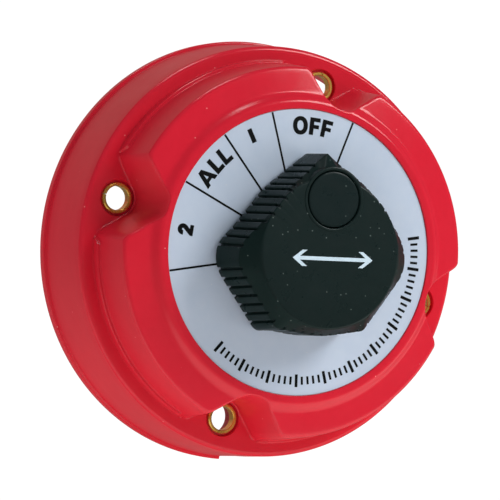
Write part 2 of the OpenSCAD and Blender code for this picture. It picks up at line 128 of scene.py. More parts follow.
def lathe(profile, count=96, at=(0, 0)):
    """solid of revolution of [(r, z), ...], closed on the axis"""
    radius, height = np.asarray(profile, float).T
    return tube(sweep(full_turn(count), radius, height, at))


def ring_lathe(profile, count):
    """ring of revolution of a closed counter-clockwise (r, z) outline"""
    radius, height = np.asarray(profile, float).T
    rows = len(radius)
    faces = []
    for j in range(count):
        a, b = j * rows, (j + 1) % count * rows
        for i in range(rows):
            i2 = (i + 1) % rows
            faces.append((a + i, b + i, b + i2, a + i2))
    return sweep(full_turn(count), radius, height).reshape(-1, 3).tolist(), faces


def prism(outline, z0, z1):
    """straight extrusion of a counter-clockwise outline"""
    n = len(outline)
    points = [(x, y, z0) for x, y in outline] + [(x, y, z1) for x, y in outline]
    faces = [(i, (i + 1) % n, n + (i + 1) % n, n + i) for i in range(n)]
    faces.append(tuple(range(n - 1, -1, -1)))
    faces.append(tuple(range(n, 2 * n)))
    return points, faces


def box(x0, x1, y0, y1, z0, z1):
    return prism([(x0, y0), (x1, y0), (x1, y1), (x0, y1)], z0, z1)


def cylinder(radius, z0, z1, at=(0, 0), count=64):
    return lathe([(radius, z0), (radius, z1)], count, at)


def turned(shape, clock):
    """the shape turned clockwise about the knob's axis"""
    points, faces = shape
    a = math.radians(-clock)
    p = np.array(points, float)
    x = p[:, 0] * math.cos(a) - p[:, 1] * math.sin(a)
    y = p[:, 0] * math.sin(a) + p[:, 1] * math.cos(a)
    p[:, 0], p[:, 1] = x, y
    return p.tolist(), faces


def joined(*shapes):
    points, faces = [], []
    for shape_points, shape_faces in shapes:
        base = len(points)
        points += [tuple(p) for p in shape_points]
        faces += [tuple(i + base for i in face) for face in shape_faces]
    return points, faces


def repeated(shape, clocks):
    return joined(*[turned(shape, clock) for clock in clocks])


# ------------------------------------------------------------------ objects
def new_object(name, data):
    ob = bpy.data.objects.new(name, data)
    bpy.context.scene.collection.objects.link(ob)
    return ob


def new_mesh(name, points, faces):
    me = bpy.data.meshes.new(name)
    me.from_pydata(stand(points).tolist(), [], [list(map(int, face)) for face in faces])
    me.update()
    return new_object(name, me)


def evaluated_mesh(ob):
    bpy.context.view_layer.update()
    depsgraph = bpy.context.evaluated_depsgraph_get()
    return bpy.data.meshes.new_from_object(ob.evaluated_get(depsgraph))


def boolean(ob, other, operation):
    """apply a boolean with a shape or an object, which is used up"""
    cutter = new_mesh("cut", *other) if isinstance(other, tuple) else other
    modifier = ob.modifiers.new("b", "BOOLEAN")
    modifier.operation = operation
    modifier.object = cutter
    before = len(ob.data.vertices)
    # EXACT takes over where MANIFOLD gives nothing or leaves the vertex count as it was
    for solver in ("MANIFOLD", "EXACT"):
        try:
            modifier.solver = solver
        except TypeError:      # a Blender built without this solver
            continue
        result = evaluated_mesh(ob)
        if len(result.vertices) > 0 and len(result.vertices) != before:
            break
    old = ob.data
    ob.modifiers.clear()
    ob.data = result
    bpy.data.meshes.remove(old)
    cutter_mesh = cutter.data
    bpy.data.objects.remove(cutter)
    bpy.data.meshes.remove(cutter_mesh)


def smooth(ob, sharp_angle):
    me = ob.data
    me.polygons.foreach_set("use_smooth", [True] * len(me.polygons))
    me.set_sharp_from_angle(angle=math.radians(sharp_angle))
    me.update()


def tidy(ob, sharp_angle):
    """drop the slivers the booleans leave, then shade smooth"""
    bm = bmesh.new()
    bm.from_mesh(ob.data)
    bmesh.ops.remove_doubles(bm, verts=bm.verts, dist=2e-6)
    bmesh.ops.dissolve_degenerate(bm, edges=bm.edges, dist=1e-6)
    bm.to_mesh(ob.data)
    bm.free()
    smooth(ob, sharp_angle)


def face_outwards(me, merge=None):
    bm = bmesh.new()
    bm.from_mesh(me)
    if merge:
        bmesh.ops.remove_doubles(bm, verts=bm.verts, dist=merge)
    bmesh.ops.recalc_face_normals(bm, faces=bm.faces)
    bm.to_mesh(me)
    bm.free()


# ------------------------------------------------------------------ housing
STEP_Z = 26.4            # shoulder round the body, and floor of the pockets at the holes
STEP_RISE = 3.1          # the ledge between the pockets stands this much higher
LEDGE_Z = STEP_Z + STEP_RISE
LEDGE_R = 57.55          # outer radius of the flat part of the ledge
HOLE_R = 52.75           # distance of the mounting holes from the axis
POST_R = 37.5            # distance of the small inner posts from the axis
POCKET_HALF = 17         # half angle of the finely divided part round each hole
RIB_OFFSET = 32          # clock angle from a hole to the rib on either side
RIB_HALF = 1.1           # half thickness of a rib
CHAMBER_R = 40
CORE_R = 42.8            # inner radius of the hollow between body wall and dial seat
RING_SEGMENTS = 180

HOLE_CLOCKS = [HOLE_CLOCK + 90 * k for k in range(4)]
POST_CLOCKS = [HOLE_CLOCK + 45 + 90 * k for k in range(4)]
RIB_CLOCKS = [clock + RIB_OFFSET * side for clock in HOLE_CLOCKS for side in (-1, 1)]

# (r, z) from the back over the rounded flange
FLANGE_ROWS = [
    (30, 0), (64.55, 0), (64.82, 0.07), (64.96, 0.22), (65, 0.45), (65, 2.75), (64.96, 2.98),
    (64.82, 3.16), (64.6, 3.26), (64.25, 3.34), (64.05, 3.5), (63.98, 3.8)]
SKIRT_TOP = (62.386, 25.1)                        # (r, z) where the skirt meets its round
SKIRT_ROUND = dict(centre=(60.9, 24.9), radius=1.5)
# (r, lift) at the foot of the step, then (r, drop) below the ledge at its rounded edge
STEP_FOOT = [(58.16, 0.0), (58.05, 0.05), (58.0, 0.18)]
LEDGE_EDGE = [(57.99, -0.5), (57.94, -0.24), (57.79, -0.07), (LEDGE_R, 0.0)]
# fillet between ledge and wall: (distance from the wall, largest radius, height)
FOOT_FILLET = [(0.45, 57.5, 0.0), (0.26, 57.47, 0.035), (0.13, 57.45, 0.12), (0.04, 57.4, 0.26)]
FOOT_SIZE = 0.45
CREST_SIZE = 1.05        # size of the round between wall and front face
FACE_OUTER, FACE_INNER = 54.3, 42.95
# (r, z) from the rim's inner edge down to the dial seat
DIAL_SEAT_ROWS = [
    (42.78, 47.05), (42.68, 46.92), (42.65, 46.75), (42.65, 46.2), (42.65, 45.8),
    (30, 45.8), (12, 45.8)]


def wall_radius(phi, z):
    """radius of the body wall at a clock angle from the nearest hole, pocket included"""
    narrowing = 0.131 * (z - STEP_Z)                       # draft of the pocket's walls
    cosine, sine = np.cos(np.radians(phi)), np.abs(np.sin(np.radians(phi)))
    pocket_back = (47.35 - narrowing) / cosine
    across_side = np.maximum(0.719 * cosine - 0.695 * sine, 0.12)
    pocket_side = (32.42 - narrowing) / across_side
    body = 56.95 - 0.1076 * (z - LEDGE_Z)
    return soft_min(body, soft_max(pocket_back, pocket_side, 2.6), 2.0)


def face_height(r):
    """height of the front face and of the ring round the dial at radius r"""
    bend_r, bend_z = 47.4, 45.05
    shallow = bend_z - 0.16 * (r - bend_r)
    steep = bend_z - 0.917 * (r - bend_r)
    return soft_min(soft_max(shallow, steep, 0.55), 47.1, 0.8)


def housing_clocks():
    clocks = []
    for hole in HOLE_CLOCKS:
        clocks += list(hole + np.arange(-POCKET_HALF, POCKET_HALF + 0.01, 0.34))
        clocks += list(hole + POCKET_HALF + np.arange(1.0, 55.5, 1.0))
    return np.array(sorted(set(np.round(np.array(clocks) % 360, 4))))[::-1]


def skirt_rows():
    rows = list(FLANGE_ROWS)
    (r0, z0), (r1, z1) = FLANGE_ROWS[-1], SKIRT_TOP
    rows += [(r0 + (r1 - r0) * t, z0 + (z1 - z0) * t) for t in (0.3, 0.6, 0.85, 1.0)]
    (centre_r, centre_z), radius = SKIRT_ROUND["centre"], SKIRT_ROUND["radius"]
    for angle in np.radians(np.linspace(8, 90, 9)[1:]):
        rows.append((centre_r + radius * math.cos(angle), centre_z + radius * math.sin(angle)))
    return rows + [(59.5, STEP_Z), (58.5, STEP_Z)]


def step_rows(ramp):
    rows = [(r, STEP_Z + lift * ramp) for r, lift in STEP_FOOT]
    for r, drop in LEDGE_EDGE:
        rows.append((r, STEP_Z + (STEP_RISE * ramp + drop * np.clip(ramp * 1.5, 0, 1))))
    return rows


def ledge_rows(phi, ledge, size):
    """ledge and the fillet at the foot of the wall"""
    foot = wall_radius(phi, ledge + FOOT_SIZE * size)
    end = np.minimum(foot + 0.5, 57.4)
    rows = [(LEDGE_R + (end - LEDGE_R) * t, ledge) for t in (0.2, 0.45, 0.7)]
    for away, largest, height in FOOT_FILLET:
        rows.append((np.minimum(foot + away * size, largest), ledge + height * size))
    return rows


def wall_rows(phi, wall_foot):
    """body wall, its rounded crest and the front face"""
    corner_z = np.full(len(phi), 43.9)
    for _ in range(6):                       # settle on where the wall meets the face
        corner_z = face_height(wall_radius(phi, corner_z))
    corner_r = wall_radius(phi, corner_z)
    size = np.clip((corner_r - 43.4) / 6, 0.5, 1.3)
    wall_top = corner_z - CREST_SIZE * size
    rows = []
    for t in np.linspace(0, 1, 8):
        z = wall_foot + (wall_top - wall_foot) * t
        rows.append((wall_radius(phi, z), z))
    start_r, end_r = wall_radius(phi, wall_top), corner_r - CREST_SIZE * size
    end_z = face_height(end_r)
    for t in np.linspace(0, 1, 8)[1:]:
        r = (1 - t) ** 2 * start_r + 2 * t * (1 - t) * corner_r + t * t * end_r
        z = (1 - t) ** 2 * wall_top + 2 * t * (1 - t) * corner_z + t * t * end_z
        rows.append((r, z))
    stations = np.concatenate([np.linspace(FACE_OUTER, 48.6, 7)[1:],
                               np.linspace(48.6, 44.3, 17)[1:],
                               np.linspace(44.3, FACE_INNER, 4)[1:]])
    for station in stations:
        r = end_r + (station - FACE_OUTER) * (end_r - FACE_INNER) / (FACE_OUTER - FACE_INNER)
        rows.append((r, face_height(r)))
    return rows


def housing_shape():
    clocks = housing_clocks()
    phi = (clocks - HOLE_CLOCK + 45) % 90 - 45
    # 0 on the pocket floors, 1 on the ledge, with a ramp at both ends of each pocket
    ramp = np.clip((np.abs(phi) - 12.9) / (15.3 - 12.9), 0, 1)
    ramp = smoothstep(ramp) * 0.35 + ramp * 0.65
    ledge = STEP_Z + STEP_RISE * ramp
    fillet = 1.0 + 1.3 * (1 - ramp)          # larger foot fillet on the pocket floors
    rows = (skirt_rows() + step_rows(ramp) + ledge_rows(phi, ledge, fillet)
            + wall_rows(phi, ledge + FOOT_SIZE * fillet) + DIAL_SEAT_ROWS)
    radius = np.stack([np.broadcast_to(r, clocks.shape) for r, z in rows], 1)
    height = np.stack([np.broadcast_to(z, clocks.shape) for r, z in rows], 1)
    return tube(sweep(np.radians(90 - clocks), radius, height))


def hollow_back(shell):
    """open the back, leaving wedges at the holes and thin ribs beside them"""
    boolean(shell, lathe([(60.9, -1), (59.62, 21.6), (59.0, 22.3), (58.6, 22.4)], 192), "DIFFERENCE")
    outer = 53.9
    core = new_mesh("coring", *ring_lathe(
        [(CORE_R, 10), (outer, 10), (outer, 41), (CORE_R, 41)], RING_SEGMENTS))
    wedge = prism([(-3.39, 44.75), (3.39, 44.75), (50.2, 90), (-50.2, 90)], 22.4, 60)
    rib = box(-RIB_HALF, RIB_HALF, 41, 61, 0, 60)
    kept = joined(repeated(wedge, HOLE_CLOCKS), repeated(rib, RIB_CLOCKS))
    boolean(core, kept, "DIFFERENCE")
    boolean(shell, core, "DIFFERENCE")


def add_back_details(shell):
    """inner ring, a boss behind each mounting hole and the ribs' back edges"""
    inner = 40.2
    ring = ring_lathe([(inner, 22.2), (40.4, 22), (42.6, 22), (CORE_R, 22.2), (CORE_R, 24),
                       (inner, 24)], RING_SEGMENTS)
    bosses = [turned(lathe([(6.6, z), (6.9, z + 0.4), (6.9, 24.4)], 64, (0, HOLE_R)), clock)
              for clock, z in zip(HOLE_CLOCKS, (20.4, 20.4, 15.9, 20.4))]
    ribs = repeated(box(-RIB_HALF, RIB_HALF, 43.1, 60.0, 16, 23), RIB_CLOCKS)
    boolean(shell, joined(ring, *bosses, ribs), "UNION")


def cut_chamber(shell):
    """round chamber in the middle, with four posts left standing"""
    chamber = new_mesh("chamber", *lathe([(CHAMBER_R, -1), (CHAMBER_R, 41.8)], RING_SEGMENTS))
    post = cylinder(3.2, 24.6, 54.6, (0, POST_R), 40)
    boolean(chamber, repeated(post, POST_CLOCKS), "DIFFERENCE")
    boolean(shell, chamber, "DIFFERENCE")


def cut_openings(shell):
    """holes in the posts, stepped mounting holes, centre hole and skirt notch"""
    post_hole = cylinder(1.75, 20, 35, (0, POST_R), 32)
    mounting_hole = lathe([(5.4, 10), (5.4, 23.1), (4.6, 23.1), (4.6, 25.1), (5.35, 25.1),
                           (5.35, 26.15), (5.65, 26.45), (5.65, 40)], 72, (0, HOLE_R))
    centre_hole = cylinder(9, 30, 60, count=96)
    middle, half = 152.8, 33.5               # clock angle and half span of the notch
    start, end = middle - half, middle + half
    notch = prism([clock_point(clock, r) for clock, r in (
        (end, 50), (end, 84), (middle, 100), (start, 84), (start, 50))], -2, 15)
    boolean(shell, joined(repeated(post_hole, POST_CLOCKS), repeated(mounting_hole, HOLE_CLOCKS),
                          centre_hole, notch), "DIFFERENCE")


def build_housing():
    shell = new_mesh("housing_shell", *housing_shape())
    hollow_back(shell)
    add_back_details(shell)
    cut_chamber(shell)
    cut_openings(shell)
    tidy(shell, 30)
    return shell


# ------------------------------------------------------------------ knob
KNOB_BACK = 48.0
BEVEL_START = 63.0       # level where the wall turns into the bevel
KNOB_FRONT = 68.0
PLUG_R = 15.6            # distance of the round boss and its plug from the axis
KNOB_SHARP = 36

# (x, y) corners of the right half, pointer first, and the radius at each
KNOB_CORNERS = [(0, 29.5), (13.5, 18.75), (29.9, -1.7), (14.3, -22.8), (0, -25.0)]
KNOB_ROUNDING = [0.6, 24, 10, 2.5, 30]
GROOVE_PITCH = 3.1
# first and last groove along each edge between those corners
GROOVE_RUNS = [(6.2, 15.6), (0.5, 22.3), (5.1, 23.8), (2.1, 11.5)]
# half of a groove: (distance along the wall, depth)
GROOVE_HALF = [(0.66, 0.0), (0.52, 0.06), (0.44, 0.22), (0.37, 0.72), (0.26, 0.9)]
GROOVE_PROFILE = [(-x, d) for x, d in GROOVE_HALF] + [(0.0, 0.92)] + GROOVE_HALF[::-1]
LAND_STEP = 0.55         # largest point spacing between grooves
# (level, inset) of the rings from back to front
KNOB_LEVELS = (
    [(48.0, 0.45), (48.06, 0.22), (48.2, 0.07), (48.42, 0.0)]
    + [(level, 0.0) for level in (51, 55, 59, 62.0, 62.55, 62.8)]
    + [(63.0, 0.03)]
    + [(level, 0.0) for level in (63.12, 63.3, 63.5, 63.7, 64.0, 64.4, 65, 65.7, 66.3, 66.7,
                                  67.1, 67.5)]
    + [(67.72, 0.07), (67.88, 0.19), (67.97, 0.36), (68.0, 0.58)])


def rounded_corner(before, corner, after, radius, steps=10):
    u, w = unit(before - corner), unit(after - corner)
    half = math.acos(max(-1, min(1, float(u @ w)))) / 2
    centre = corner + unit(u + w) * (radius / math.sin(half))
    start = corner + u * (radius / math.tan(half))
    end = corner + w * (radius / math.tan(half))
    a0, a1 = math.atan2(*(start - centre)[::-1]), math.atan2(*(end - centre)[::-1])
    sweep_angle = (a1 - a0 + 3 * math.pi) % (2 * math.pi) - math.pi
    angles = [a0 + sweep_angle * i / steps for i in range(steps + 1)]
    return [centre + radius * np.array([math.cos(a), math.sin(a)]) for a in angles]


def knob_outline(inset=0.0):
    """counter-clockwise rounded outline, pointer up, shrunk towards the axis"""
    scale = 1 - inset / 26
    mirrored = [(-x, y) for x, y in KNOB_CORNERS[3:0:-1]]
    corners = [np.array(v, float) * scale for v in KNOB_CORNERS + mirrored][::-1]
    radii = (KNOB_ROUNDING + KNOB_ROUNDING[3:0:-1])[::-1]
    outline = []
    for i, radius in enumerate(radii):
        outline += rounded_corner(corners[i - 1], corners[i], corners[(i + 1) % len(corners)],
                                  radius)
    return np.array(outline)


def closed_path(outline):
    """function from distance to point along a closed outline, and its total length"""
    edges = np.roll(outline, -1, 0) - outline
    lengths = np.linalg.norm(edges, axis=1)
    reached = np.concatenate([[0], np.cumsum(lengths)])
    total = reached[-1]

    def point_at(distance):
        distance = distance % total
        i = np.clip(np.searchsorted(reached, distance, "right") - 1, 0, len(outline) - 1)
        t = (distance - reached[i]) / np.maximum(lengths[i], 1e-9)
        return outline[i] + edges[i] * t[:, None]

    return point_at, total


def groove_centres(point_at, total):
    """distances along the wall nearest to each groove laid out on the straight edges"""
    distances = np.linspace(0, total, 24000, endpoint=False)
    samples = point_at(distances)

    def nearest(point):
        return float(distances[np.argmin(((samples - point) ** 2).sum(1))])

    centres = []
    for start, end, (first, last) in zip(KNOB_CORNERS, KNOB_CORNERS[1:], GROOVE_RUNS):
        start, end = np.array(start, float), np.array(end, float)
        along = unit(end - start)
        for i in range(int(math.floor((last - first) / GROOVE_PITCH)) + 1):
            point = start + along * (first + GROOVE_PITCH * i)
            for mirror in (1, -1):
                centres.append(nearest(point * np.array([mirror, 1.0])))
    centres.append(nearest(np.array(KNOB_CORNERS[-1])))
    return centres


def groove_stations(centres, total):
    """sorted (distance, depth) round the wall, with the lands filled in"""
    grooves = sorted(((centre + offset) % total, depth)
                     for centre in centres for offset, depth in GROOVE_PROFILE)
    stations = []
    for i, (distance, depth) in enumerate(grooves):
        stations.append((distance, depth))
        wrap = total if i == len(grooves) - 1 else 0
        gap = grooves[(i + 1) % len(grooves)][0] + wrap - distance
        if gap > LAND_STEP:
            parts = int(math.ceil(gap / LAND_STEP))
            stations += [(distance + gap * k / parts, 0.0) for k in range(1, parts)]
    return sorted((distance % total, depth) for distance, depth in stations)


def bevel_heights(wall, reach):
    """start of the bevel, higher where the upper wall is near the round top"""
    near_top = np.clip((27.5 - reach) / 4.5, 0, 1)
    upper = smoothstep(np.clip((wall[:, 1] + 4) / 8, 0, 1))
    return 62.0 * (1 - upper) + (62.6 + 2.8 * smoothstep(near_top)) * upper


def bevel_target(wall, outward):
    """point on the round top edge that each wall point runs to"""
    tip_half = math.radians(9)
    angle = np.arctan2(wall[:, 0], wall[:, 1])
    facing = np.arctan2(outward[:, 0], outward[:, 1])
    # the few points at the pointer's tip are fanned out
    fan = tip_half * np.clip(np.abs(facing) / math.radians(38.0), 0, 1)
    tip = (wall[:, 1] > 19) & (np.abs(angle) < tip_half)
    angle = np.where(tip, np.sign(facing) * np.maximum(np.abs(angle), fan), angle)
    top_radius, top_centre = 21.9, np.array([-0.4, -0.1])
    return np.stack([np.sin(angle), np.cos(angle)], 1) * top_radius + top_centre


def knob_solid():
    point_at, total = closed_path(knob_outline())
    along, depth = np.array(groove_stations(groove_centres(point_at, total), total)).T
    wall = point_at(along)
    tangent = point_at(along + 0.25) - point_at(along - 0.25)
    tangent /= np.linalg.norm(tangent, axis=1)[:, None]
    outward = np.stack([tangent[:, 1], -tangent[:, 0]], 1)
    reach = np.linalg.norm(wall, axis=1)
    bevel = bevel_heights(wall, reach)
    target = bevel_target(wall, outward)
    # the lower side walls flare out towards the back
    sideways = np.clip((np.abs(wall[:, 0]) - 9) / 6, 0, 1)
    upper = np.clip(wall[:, 1] / 7, 0, 1)
    flare = 0.85 * smoothstep(sideways) * (1 - smoothstep(upper))
    close_to_top = np.clip((24.2 - reach) / 1.2, 0, 1)
    low_end = np.clip((-wall[:, 1] - 17) / 4, 0, 1)

    def ring(level, inset):
        """a level below BEVEL_START is on the wall, from there on it runs up the bevel"""
        t = (np.clip((level - BEVEL_START) / (KNOB_FRONT - BEVEL_START), 0, 1)
             * np.ones(len(along)))
        shift = np.clip((level - 48.5) / (BEVEL_START - 48.5), 0, 1)
        z = (np.minimum(level, BEVEL_START) + (bevel - BEVEL_START) * shift
             + t * (KNOB_FRONT - bevel))
        lean = 0.35 * np.clip((z - KNOB_BACK) / (BEVEL_START - KNOB_BACK), 0, 1.0)
        lean = lean - flare * np.clip((62.0 - z) / (62.0 - KNOB_BACK), 0, 1)
        leaning = wall - outward * lean[:, None]
        smooth_wall = leaning + (target - leaning) * t[:, None]
        inwards = ((wall - smooth_wall) * outward).sum(1)
        sideslip = ((wall - smooth_wall) * tangent).sum(1)
        # the grooves stop at the bevel, but run through where the wall meets the top
        fade = np.clip(1 - (z - bevel - 0.15 - 1.0 * low_end) / 0.6, 0, 1)
        fade = np.maximum(fade, 0.80 * close_to_top)
        inwards = np.maximum(np.maximum(inwards, lean), lean + depth * fade) + inset
        xy = wall - outward * inwards[:, None] - tangent * sideslip[:, None]
        return np.column_stack([xy, z])

    rings = [ring(level, inset) for level, inset in KNOB_LEVELS]
    inner = rings[-1].copy()
    inner[:, :2] *= 0.6
    return tube(np.stack(rings + [inner], 1))


def add_plug_boss(knob):
    """raised round boss near the pointer and its recess"""
    at = (0, PLUG_R)
    boss = [(9.5, 58), (9.5, 67.85), (9.46, 68.02), (9.34, 68.14), (9.15, 68.2)]
    recess = [(8.45, 60.5), (8.45, 67.86), (8.52, 68.05), (8.7, 68.18), (8.95, 68.23), (8.95, 70)]
    boolean(knob, lathe(boss, 128, at), "UNION")
    boolean(knob, lathe(recess, 128, at), "DIFFERENCE")


def hollow_knob(knob):
    """hollow back with a hub, three crossing ribs and a double-flat socket"""
    hollow = new_mesh("hollow", *prism(knob_outline(4.2).tolist(), 47, 58))
    hub = new_mesh("hub", *cylinder(10, 40, 70, count=72))
    for angle in (30, 90, 150):
        boolean(hub, turned(box(-40, 40, -1.1, 1.1, 48.6, 70), -angle), "UNION")
    boolean(hollow, hub, "DIFFERENCE")
    boolean(knob, hollow, "DIFFERENCE")
    socket = new_mesh("socket", *cylinder(6.34, 47, 57.1, count=72))
    boolean(socket, box(-20, 20, -4.84, 4.84, 30, 90), "INTERSECT")
    boolean(knob, socket, "DIFFERENCE")
    boolean(knob, cylinder(4.0, 56.9, 63.6), "DIFFERENCE")


def build_knob():
    knob = new_mesh("knob_body", *knob_solid())
    add_plug_boss(knob)
    hollow_knob(knob)
    tidy(knob, KNOB_SHARP)
    a = math.radians(POINTER_CLOCK)
    for v in knob.data.vertices:
        x, z = v.co.x, v.co.z
        v.co.x = x * math.cos(a) + z * math.sin(a)
        v.co.z = -x * math.sin(a) + z * math.cos(a)
    return knob


def build_plug():
    profile = [(8.1, 60.55), (8.1, 67.62), (8.06, 67.8), (7.94, 67.93), (7.75, 68.0),
               (7.3, 68.02), (5.0, 68.0), (2.0, 67.99)]
    plug = new_mesh("lock_blank", *lathe(profile, 128, clock_point(POINTER_CLOCK, PLUG_R)))
    smooth(plug, KNOB_SHARP)
    return plug


# ------------------------------------------------------------------ threaded studs
def build_stud(name, clock, front):
    pitch, radius, thread_depth = 1.5875, 4.76, 0.62
    back, thread_end = 2.5, 16.2
    taper, runout = 0.9, 1.5                 # lengths of the tapered tip and the thread's end
    angles = full_turn(48)
    heights = list(np.arange(back, thread_end + 0.001, pitch / 10))
    columns = []
    for z in heights:
        phase = (z / pitch - angles / (2 * math.pi)) % 1.0
        ridge = np.clip(1.25 - np.abs(phase - 0.5) * 2.9, 0, 1)
        tip = min(1.0, (z - back) / taper * 0.6 + 0.4)
        fade = 1.0 if z < thread_end - runout else max(0.0, (thread_end - z) / runout)
        limit = radius * tip if z < back + taper else radius
        columns.append(np.minimum(radius - thread_depth * (1 - ridge) * fade, limit))
    for z in (thread_end + 0.3, front):
        heights.append(z)
        columns.append(np.full(len(angles), radius))
    grid = sweep(angles, np.stack(columns, 1), heights, clock_point(clock, 26))
    stud = new_mesh(name, *tube(grid))
    smooth(stud, 50)
    return stud


# ------------------------------------------------------------------ spring of the contact bridge
def build_coil():
    """round wire coil with closed end turns"""
    mean_radius, wire_radius = 8.65, 0.5
    low, high = 29.82, 34.46
    turns, end_turn, steps, wire_sides = 2.6, 0.3, 170, 12
    t = np.linspace(0, turns, steps)
    climb = np.clip((t - end_turn) / (turns - 2 * end_turn), 0, 1)
    z = low + wire_radius + (high - low - 2 * wire_radius) * climb
    angle = t * 2 * math.pi
    grid = np.zeros((wire_sides, steps, 3))
    for j in range(wire_sides):
        around = -2 * math.pi * j / wire_sides
        r = mean_radius + wire_radius * math.cos(around)
        grid[j, :, 0] = r * np.cos(angle)
        grid[j, :, 1] = r * np.sin(angle)
        grid[j, :, 2] = z + wire_radius * math.sin(around)
    coil = new_mesh("contact_coil", *tube(grid))
    face_outwards(coil.data)
    smooth(coil, 50)
    return coil


# ------------------------------------------------------------------ printed marks
def clock_placer(clock, x0, y0):
    """moves a drawing by (x0, y0), then turns it clockwise about the axis"""
    c, s = math.cos(math.radians(clock)), math.sin(math.radians(clock))
    return lambda x, y: ((x0 + x) * c + (y0 + y) * s, -(x0 + x) * s + (y0 + y) * c)


def flat_piece(name, outlines, z0, z1, place=lambda x, y: (x, y)):
    """thin layer filled between outlines, holes included"""
    curve = bpy.data.curves.new(name, "CURVE")
    curve.dimensions = "2D"
    curve.fill_mode = "BOTH"
    curve.extrude = (z1 - z0) / 2
    for outline in outlines:
        spline = curve.splines.new("POLY")
        spline.points.add(len(outline) - 1)
        for point, (x, y) in zip(spline.points, outline):
            point.co = (x, y, 0, 1)
        spline.use_cyclic_u = True
    ob = new_object(name, curve)
    me = evaluated_mesh(ob)
    bpy.data.objects.remove(ob)
    bpy.data.curves.remove(curve)
    points = np.array([v.co for v in me.vertices])
    xy = np.array([place(x, y) for x, y in points[:, :2]])
    z = (z0 + z1) / 2 + points[:, 2]
    for v, co in zip(me.vertices, stand(np.column_stack([xy, z]))):
        v.co = co
    face_outwards(me, merge=1e-7)
    me.name = name
    return new_object(name, me)


def dial_print(name, outlines, **placing):
    return flat_piece(name, outlines, DIAL_TOP - PRINT_SINK, DIAL_TOP + PRINT_RISE, **placing)


def oval(half_width, half_height, count):
    """slightly squared oval round the middle of the letter O"""
    power = 2 / 2.15
    outline = []
    for t in np.linspace(0, 2 * math.pi, count, endpoint=False):
        c, s = np.cos(t), np.sin(t)
        outline.append((0.47 + half_width * np.sign(c) * abs(c) ** power,
                        0.5 + half_height * np.sign(s) * abs(s) ** power))
    return outline


def figure_two():
    """a stroke of even width round the bowl, ending in a square foot"""
    angles = np.radians(np.linspace(190, -42, 24))
    centre = [(0.315 + 0.195 * math.cos(a), 0.665 + 0.20 * math.sin(a)) for a in angles]
    centre = np.array(centre + [(0.40, 0.455), (0.33, 0.37), (0.27, 0.29)])
    along = np.gradient(centre, axis=0)
    along /= np.linalg.norm(along, axis=1)[:, None]
    half_stroke = np.stack([-along[:, 1], along[:, 0]], 1) * 0.135
    foot = [(0.40, 0.235), (0.64, 0.235), (0.64, 0.0), (0.0, 0.0), (0.0, 0.17)]
    left, right = centre + half_stroke, centre - half_stroke
    return (left.tolist() + foot + right[::-1].tolist())[::-1]


# character: (width, outlines), in letter heights; outlines after the first are holes
GLYPHS = {
    "F": (0.66, [[(0, 0), (0.27, 0), (0.27, 0.37), (0.60, 0.37), (0.60, 0.59), (0.27, 0.59),
                  (0.27, 0.77), (0.66, 0.77), (0.66, 1), (0, 1)]]),
    "L": (0.64, [[(0, 0), (0.64, 0), (0.64, 0.24), (0.27, 0.24), (0.27, 1), (0, 1)]]),
    "A": (1.0, [[(0, 0), (0.28, 0), (0.345, 0.18), (0.655, 0.18), (0.72, 0), (1.0, 0),
                 (0.64, 1), (0.36, 1)],
                [(0.5, 0.70), (0.59, 0.385), (0.41, 0.385)]]),
    # the hole's points start at the right and run clockwise
    "O": (0.94, [oval(0.47, 0.53, 40), [(x, 1 - y) for x, y in oval(0.20, 0.285, 32)]]),
    "1": (0.34, [[(0, 0), (0.34, 0), (0.34, 1), (0, 1)]]),
    "2": (0.64, [figure_two()]),
}


def is_counter_clockwise(outline):
    x, y = np.array(outline).T
    return (x * np.roll(y, -1) - np.roll(x, -1) * y).sum() > 0


def label(word, clock, height, base_radius):
    """letters set side by side round the dial, centred on a clock angle"""
    gap = 0.11 * height
    widths = [GLYPHS[character][0] * height for character in word]
    x = -(sum(widths) + gap * (len(word) - 1)) / 2
    letters = []
    for i, character in enumerate(word):
        width, glyph = GLYPHS[character]
        middle = x + widths[i] / 2
        turn = clock + math.degrees(middle / (base_radius + height * 0.5))
        outlines = []
        for k, outline in enumerate(glyph):
            outline = [((px - width / 2) * height, py * height) for px, py in outline]
            solid = k == 0
            outlines.append(outline if is_counter_clockwise(outline) == solid else outline[::-1])
        letters.append(dial_print("mark_%s_%d" % (word.lower(), i), outlines,
                                  place=clock_placer(turn, 0, base_radius)))
        x += widths[i] + gap
    return letters


def strip(start, end, along, width):
    """counter-clockwise rectangle from start to end"""
    side = np.array([along[1], -along[0]]) * width / 2
    return [tuple(start - side), tuple(start + side), tuple(end + side), tuple(end - side)]


def dial_line(name, clock):
    """line to the dial's edge, aimed from a point just right of the axis"""
    focus, start_radius, end_radius, width = np.array((0.8, 0.0)), 17, 42.45, 0.60
    end = np.array(clock_point(clock, end_radius))
    along = unit(end - focus)
    return dial_print(name, [strip(focus + along * start_radius, end, along, width)])


def dial_scale():
    """short bars round the lower dial, every fifth one taller and wider"""
    bars = []
    for k, clock in enumerate(np.arange(84.0, 224.5, 2.8)):
        inner, outer, width = (36.3, 40.1, 0.9) if k % 5 == 0 else (37.0, 39.4, 0.7)
        along = np.array(clock_point(clock, 1))
        bars.append(strip(along * inner, along * outer, along, width))
    return dial_print("dial_scale", bars)


def build_dial_prints():
    prints = [dial_line("dial_line_%d" % i, clock)
              for i, clock in enumerate((24.4, -12.4, -35.3, -60.6, -96.9))]
    prints += label("OFF", clock=6.2, height=5.2, base_radius=35.1)
    prints += label("ALL", clock=-48.0, height=5.2, base_radius=35.1)
    prints += label("1", clock=-24.6, height=4.3, base_radius=35.7)
    prints += label("2", clock=-79.5, height=5.0, base_radius=35.2)
    return prints + [dial_scale()]


